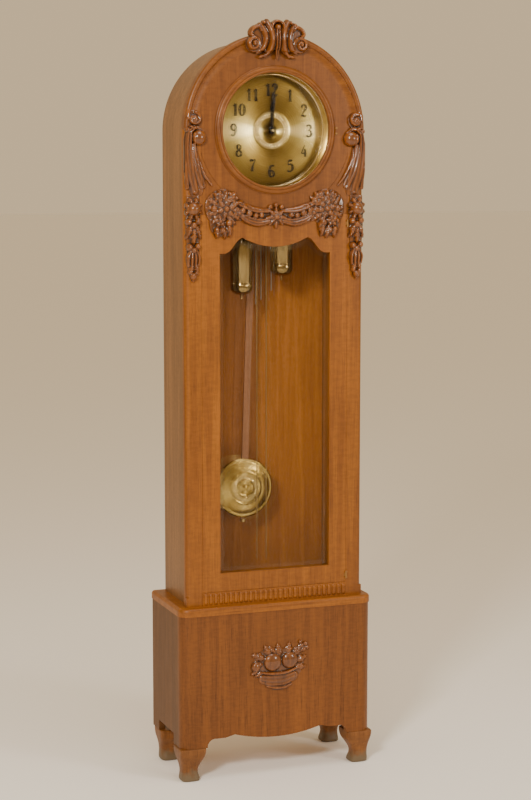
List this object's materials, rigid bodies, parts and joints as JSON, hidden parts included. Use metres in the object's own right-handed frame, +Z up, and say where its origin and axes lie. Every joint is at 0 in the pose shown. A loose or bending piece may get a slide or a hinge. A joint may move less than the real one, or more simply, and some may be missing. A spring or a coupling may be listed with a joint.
{
  "type": "grandfather clock",
  "caption": "Floor-standing clock: arched oak case with a glazed trunk door, carved trim, brass dial, two chain-hung weights and a long pendulum.",
  "frame": {"origin": "on the floor, in the middle of the overall box", "axes": "+Z up, +X to the viewer's right, -Y towards the viewer, so the dial faces -Y"},
  "size_m": [0.552, 0.275, 2],
  "materials": {
    "oak_front": "satin varnish",
    "oak_side": "satin varnish",
    "oak_inside": "matt",
    "oak_carved": "gloss varnish",
    "worn_oak": "worn varnish",
    "glass": "clear",
    "dial_brass": "brushed",
    "cast_brass": "cast, gilt",
    "polished_brass": "polished",
    "plate_brass": "satin",
    "chain_brass": "aged",
    "black_enamel": "gloss",
    "blued_steel": "gloss",
    "steel": "satin",
    "cast_iron": "matt black",
    "rod_wood": "satin"
  },
  "bodies": {
    "case": {"base_front_panel": "oak_front", "base_corner_posts": "oak_front", "base_sides": "oak_side", "base_cap": "oak_front", "base_back": "oak_inside", "base_floor": "oak_inside", "front_feet": "worn_oak", "rear_feet": "worn_oak", "trunk_side_left": "oak_side", "trunk_side_right": "oak_side", "trunk_back": "oak_inside", "arch_shell": "oak_side", "front_stiles": "oak_front", "reeded_rail": "oak_front", "dial_board": "oak_front", "arch_moulding": "oak_front", "scroll_carvings": "oak_carved", "festoon_carvings": "oak_carved", "shell_crest": "oak_carved", "fruit_carving": "oak_carved", "hinge_pins": "plate_brass", "dial_plate": "dial_brass", "dial_numerals": "black_enamel", "dial_ornament": "cast_brass", "seat_board": "oak_inside", "seat_brackets": "oak_inside", "movement_plates": "plate_brass", "plate_pillars": "plate_brass", "back_cock": "plate_brass", "gong_block": "cast_iron", "gong_rods": "steel", "hammer_bracket": "plate_brass", "chain_left": "chain_brass", "chain_right": "chain_brass", "loose_chain_left": "chain_brass", "loose_chain_right": "chain_brass"},
    "door": {"door_frame": "oak_front", "door_glass": "glass", "door_garland": "oak_carved", "door_hinge_barrels": "plate_brass"},
    "bezel": {"bezel_ring": "oak_front", "bezel_glass": "glass"},
    "minute_train": {"centre_arbor": "plate_brass", "minute_hand": "blued_steel", "hand_nut": "blued_steel"},
    "hour_train": {"hour_wheel": "plate_brass", "hour_hand": "blued_steel"},
    "idler": {"minute_wheel": "plate_brass"},
    "third": {"third_wheel": "plate_brass"},
    "escape": {"escape_wheel": "plate_brass"},
    "anchor_body": {"anchor": "steel"},
    "pendulum": {"suspension_spring": "steel", "pendulum_rod": "rod_wood", "pendulum_bob": "polished_brass", "rating_nut": "plate_brass"},
    "left_weight": {"weight_left": "polished_brass"},
    "right_weight": {"weight_right": "polished_brass"},
    "left_sprocket": {"sprocket_left": "plate_brass"},
    "right_sprocket": {"sprocket_right": "plate_brass"},
    "hammer": {"strike_hammer": "steel"}
  },
  "joints": [
    {"name": "door_swing", "type": "hinge", "parent": "case", "child": "door", "pos_m": [0.20425, -0.1, 0.95], "axis": [0, 0, 1], "range_deg": [0, 90]},
    {"name": "bezel_swing", "type": "hinge", "parent": "case", "child": "bezel", "pos_m": [0.1695, -0.1, 1.717], "axis": [0, 0, 1], "range_deg": [0, 100]},
    {"name": "minute_turn", "type": "hinge", "parent": "case", "child": "minute_train", "pos_m": [0, -0.0425, 1.717], "axis": [0, 1, 0], "continuous": true},
    {"name": "hour_turn", "type": "hinge", "parent": "case", "child": "hour_train", "pos_m": [0, -0.0525, 1.717], "axis": [0, 1, 0], "continuous": true},
    {"name": "idler_turn", "type": "hinge", "parent": "case", "child": "idler", "pos_m": [-0.028, -0.0425, 1.717], "axis": [0, 1, 0], "continuous": true},
    {"name": "third_turn", "type": "hinge", "parent": "case", "child": "third", "pos_m": [-0.027, 0.0025, 1.753], "axis": [0, 1, 0], "continuous": true},
    {"name": "escape_turn", "type": "hinge", "parent": "case", "child": "escape", "pos_m": [0, 0.0195, 1.78009], "axis": [0, 1, 0], "continuous": true},
    {"name": "pendulum_swing", "type": "hinge", "parent": "case", "child": "pendulum", "pos_m": [0, 0.0545, 1.812], "axis": [0, 1, 0], "range_deg": [-4.85, 1.15]},
    {"name": "anchor_rock", "type": "hinge", "parent": "case", "child": "anchor_body", "pos_m": [0, 0.0195, 1.812], "axis": [0, 1, 0], "range_deg": [-4.85, 1.15]},
    {"name": "left_weight_drop", "type": "slide", "parent": "case", "child": "left_weight", "axis": [0, 0, -1], "range_m": [0, 1.05], "deforming": ["chain_left", "loose_chain_left"]},
    {"name": "right_weight_drop", "type": "slide", "parent": "case", "child": "right_weight", "axis": [0, 0, -1], "range_m": [0, 1.05], "deforming": ["chain_right", "loose_chain_right"]},
    {"name": "left_sprocket_turn", "type": "hinge", "parent": "case", "child": "left_sprocket", "pos_m": [-0.03525, 0.0075, 1.635], "axis": [0, 1, 0], "range_deg": [-2770, 0]},
    {"name": "right_sprocket_turn", "type": "hinge", "parent": "case", "child": "right_sprocket", "pos_m": [0.03525, 0.0075, 1.635], "axis": [0, 1, 0], "range_deg": [0, 2770]},
    {"name": "hammer_strike", "type": "hinge", "parent": "case", "child": "hammer", "pos_m": [0.0525, 0.0675, 1.548], "axis": [1, 0, 0], "range_deg": [-10, 1]}
  ],
  "couplings": [
    {"joint": "hour_turn", "follows": "minute_turn", "ratio": 0.083333},
    {"joint": "idler_turn", "follows": "minute_turn", "ratio": -0.33333},
    {"joint": "third_turn", "follows": "minute_turn", "ratio": -8},
    {"joint": "escape_turn", "follows": "minute_turn", "ratio": 60},
    {"joint": "anchor_rock", "follows": "pendulum_swing", "ratio": 1},
    {"joint": "left_sprocket_turn", "follows": "left_weight_drop", "rad_per_m": -45.977},
    {"joint": "right_sprocket_turn", "follows": "right_weight_drop", "rad_per_m": 45.977}
  ]
}
